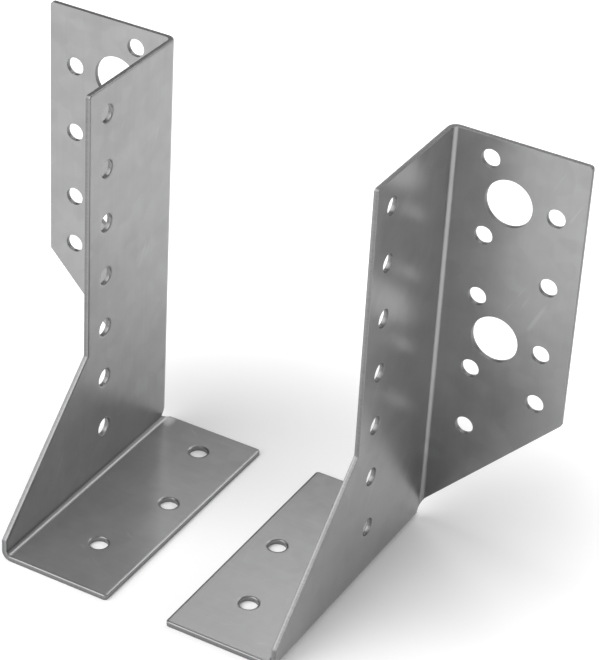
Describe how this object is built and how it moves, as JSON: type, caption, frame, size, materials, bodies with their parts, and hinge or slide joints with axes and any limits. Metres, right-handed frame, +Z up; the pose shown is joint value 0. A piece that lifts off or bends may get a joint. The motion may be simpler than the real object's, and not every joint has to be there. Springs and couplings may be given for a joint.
{
  "type": "two-part joist hanger",
  "caption": "Two-part joist hanger: mirrored left and right halves folded from galvanised sheet, with gusseted webs, header flanges, seats, nail holes and bolt holes.",
  "frame": {"origin": "middle of the footprint of both seats, in the plane of their undersides", "axes": "+X across the joist to the right half, +Y towards the header, +Z up along the joist's depth"},
  "size_m": [0.158, 0.079, 0.12],
  "materials": {
    "zinc": "matt hot-dip galvanised"
  },
  "bodies": {
    "root": {"left_half": "zinc", "right_half": "zinc"}
  },
  "joints": []
}
